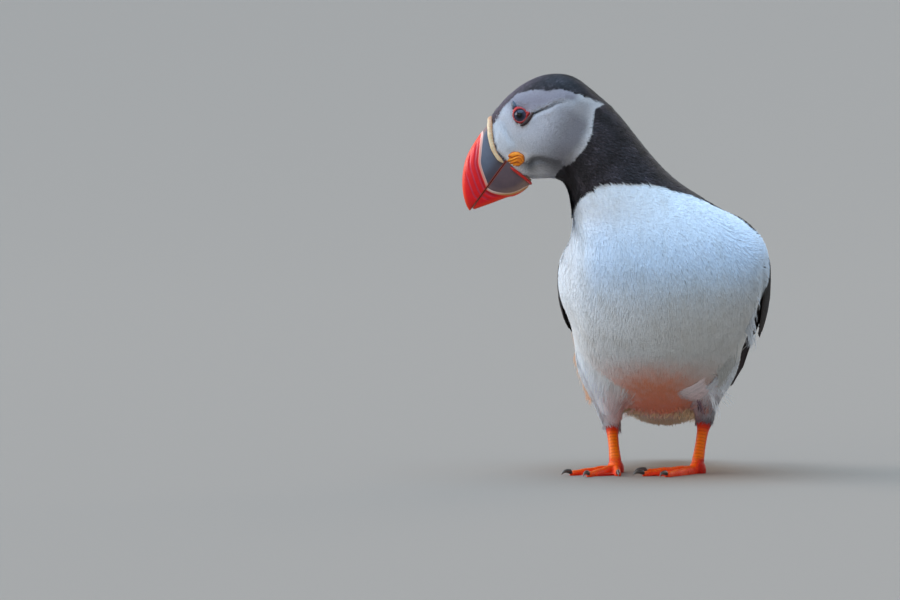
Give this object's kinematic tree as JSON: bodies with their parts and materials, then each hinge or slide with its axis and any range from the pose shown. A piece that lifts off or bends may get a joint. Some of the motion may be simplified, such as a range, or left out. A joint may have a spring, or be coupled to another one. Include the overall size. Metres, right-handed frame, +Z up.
{
  "type": "atlantic puffin figure",
  "caption": "Life-size standing Atlantic puffin, upright on webbed feet with wings folded, looking down to one side.",
  "frame": {"origin": "on the floor below the middle of the bounding box", "axes": "the body faces -Y, its left side is +X, +Z is up; the head looks down towards -X"},
  "size_m": [0.1514, 0.161, 0.2023],
  "materials": {
    "white_feather": "soft feather",
    "black_feather": "soft feather",
    "grey_feather": "soft feather",
    "red_horn": "horn, half gloss",
    "ivory_skin": "skin, satin",
    "orange_skin": "scaled skin, satin",
    "rosette_skin": "wrinkled skin, satin",
    "eye": "wet gloss",
    "red_lid": "skin, satin",
    "dark_claw": "horn, half gloss"
  },
  "bodies": {
    "root": {"head": "grey_feather", "neck": "black_feather", "trunk": "white_feather", "tail": "black_feather", "wing_left": "black_feather", "wing_right": "black_feather", "primaries_left": "black_feather", "primaries_right": "black_feather", "thigh_left": "white_feather", "thigh_right": "white_feather", "tarsus_left": "orange_skin", "tarsus_right": "orange_skin", "foot_left": "orange_skin", "foot_right": "orange_skin", "claw_left_inner": "dark_claw", "claw_left_middle": "dark_claw", "claw_left_outer": "dark_claw", "claw_right_inner": "dark_claw", "claw_right_middle": "dark_claw", "claw_right_outer": "dark_claw", "bill_upper": "red_horn", "bill_lower": "red_horn", "cere": "ivory_skin", "chin_band": "red_lid", "rosette_left": "rosette_skin", "rosette_right": "rosette_skin", "eye_left": "eye", "eye_right": "eye", "eye_ring_left": "red_lid", "eye_ring_right": "red_lid"}
  },
  "joints": []
}
